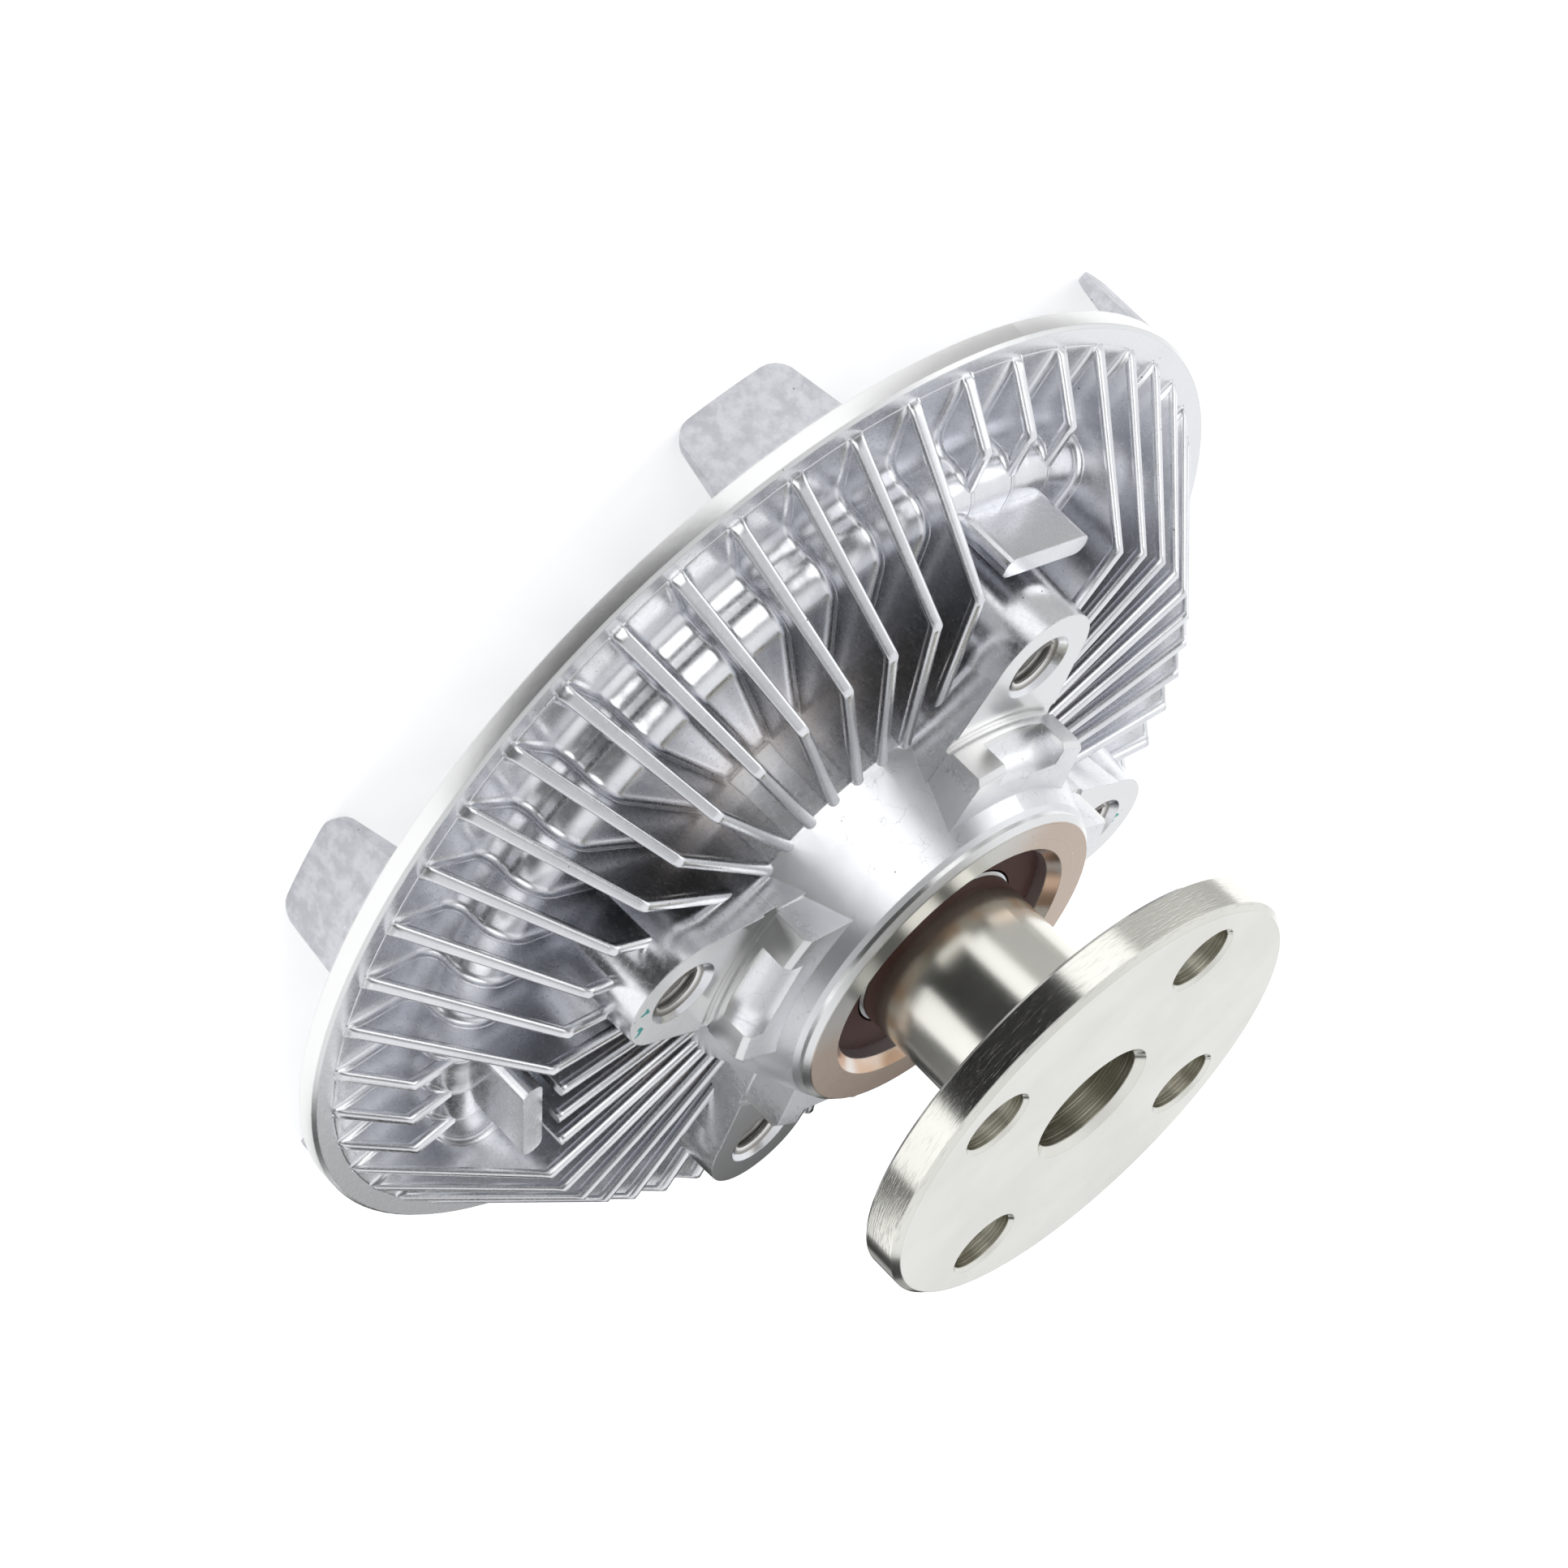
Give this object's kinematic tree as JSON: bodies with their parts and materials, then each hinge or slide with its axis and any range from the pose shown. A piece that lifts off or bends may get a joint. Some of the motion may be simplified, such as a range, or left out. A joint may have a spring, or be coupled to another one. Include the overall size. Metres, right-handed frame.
{
  "type": "viscous fan clutch",
  "caption": "Thermostatic viscous fan clutch: a finned cast housing with fan bosses that spins on a flanged drive shaft, with a bimetal coil and valve in its front cover.",
  "frame": {"origin": "centre of the flange face that bolts to the pulley", "axes": "+Z along the axis of rotation, out of the flange face towards the engine; +X through the first fan boss"},
  "size_m": [0.1468, 0.1468, 0.0708],
  "materials": {
    "plated_steel": "turned, bright plated",
    "bearing_steel": "ground",
    "cage_steel": "pressed",
    "seal_rubber": "moulded",
    "spring_steel": "blackened",
    "cast_aluminium": "die cast, satin",
    "turned_aluminium": "turned",
    "black_rubber": "moulded",
    "sheet_steel": "stamped",
    "bimetal": "rolled strip"
  },
  "bodies": {
    "drive": {"drive_shaft": "plated_steel", "bearing_inner_race": "bearing_steel", "rotor": "turned_aluminium", "rotor_snap_ring": "spring_steel"},
    "housing": {"rear_housing": "cast_aluminium", "bearing_outer_race": "bearing_steel", "bearing_rear_seal": "seal_rubber", "bearing_front_seal": "seal_rubber", "bearing_snap_ring": "spring_steel", "front_cover": "cast_aluminium", "cover_seal": "black_rubber", "valve_plate": "sheet_steel", "valve_plate_rivets": "sheet_steel", "valve_shaft_seal": "black_rubber", "bimetal_coil": "bimetal", "coil_anchor": "sheet_steel", "coil_anchor_screw": "plated_steel"},
    "bearing_cage": {"bearing_cage": "cage_steel", "bearing_balls": "bearing_steel"},
    "valve": {"valve_shaft": "plated_steel", "valve_arm": "sheet_steel", "valve_clip": "spring_steel"}
  },
  "joints": [
    {"name": "housing_spin", "type": "hinge", "parent": "drive", "child": "housing", "pos_m": [0, 0, -0.0345], "axis": [0, 0, 1], "continuous": true},
    {"name": "cage_spin", "type": "hinge", "parent": "drive", "child": "bearing_cage", "pos_m": [0, 0, -0.0345], "axis": [0, 0, 1], "continuous": true},
    {"name": "valve_turn", "type": "hinge", "parent": "housing", "child": "valve", "pos_m": [0, 0, -0.0646], "axis": [0, 0, 1], "range_deg": [0, 35], "stiffness_Nm_per_rad": 0.02, "deforming": ["bimetal_coil"]}
  ],
  "couplings": [
    {"joint": "cage_spin", "follows": "housing_spin", "ratio": 0.6184}
  ]
}
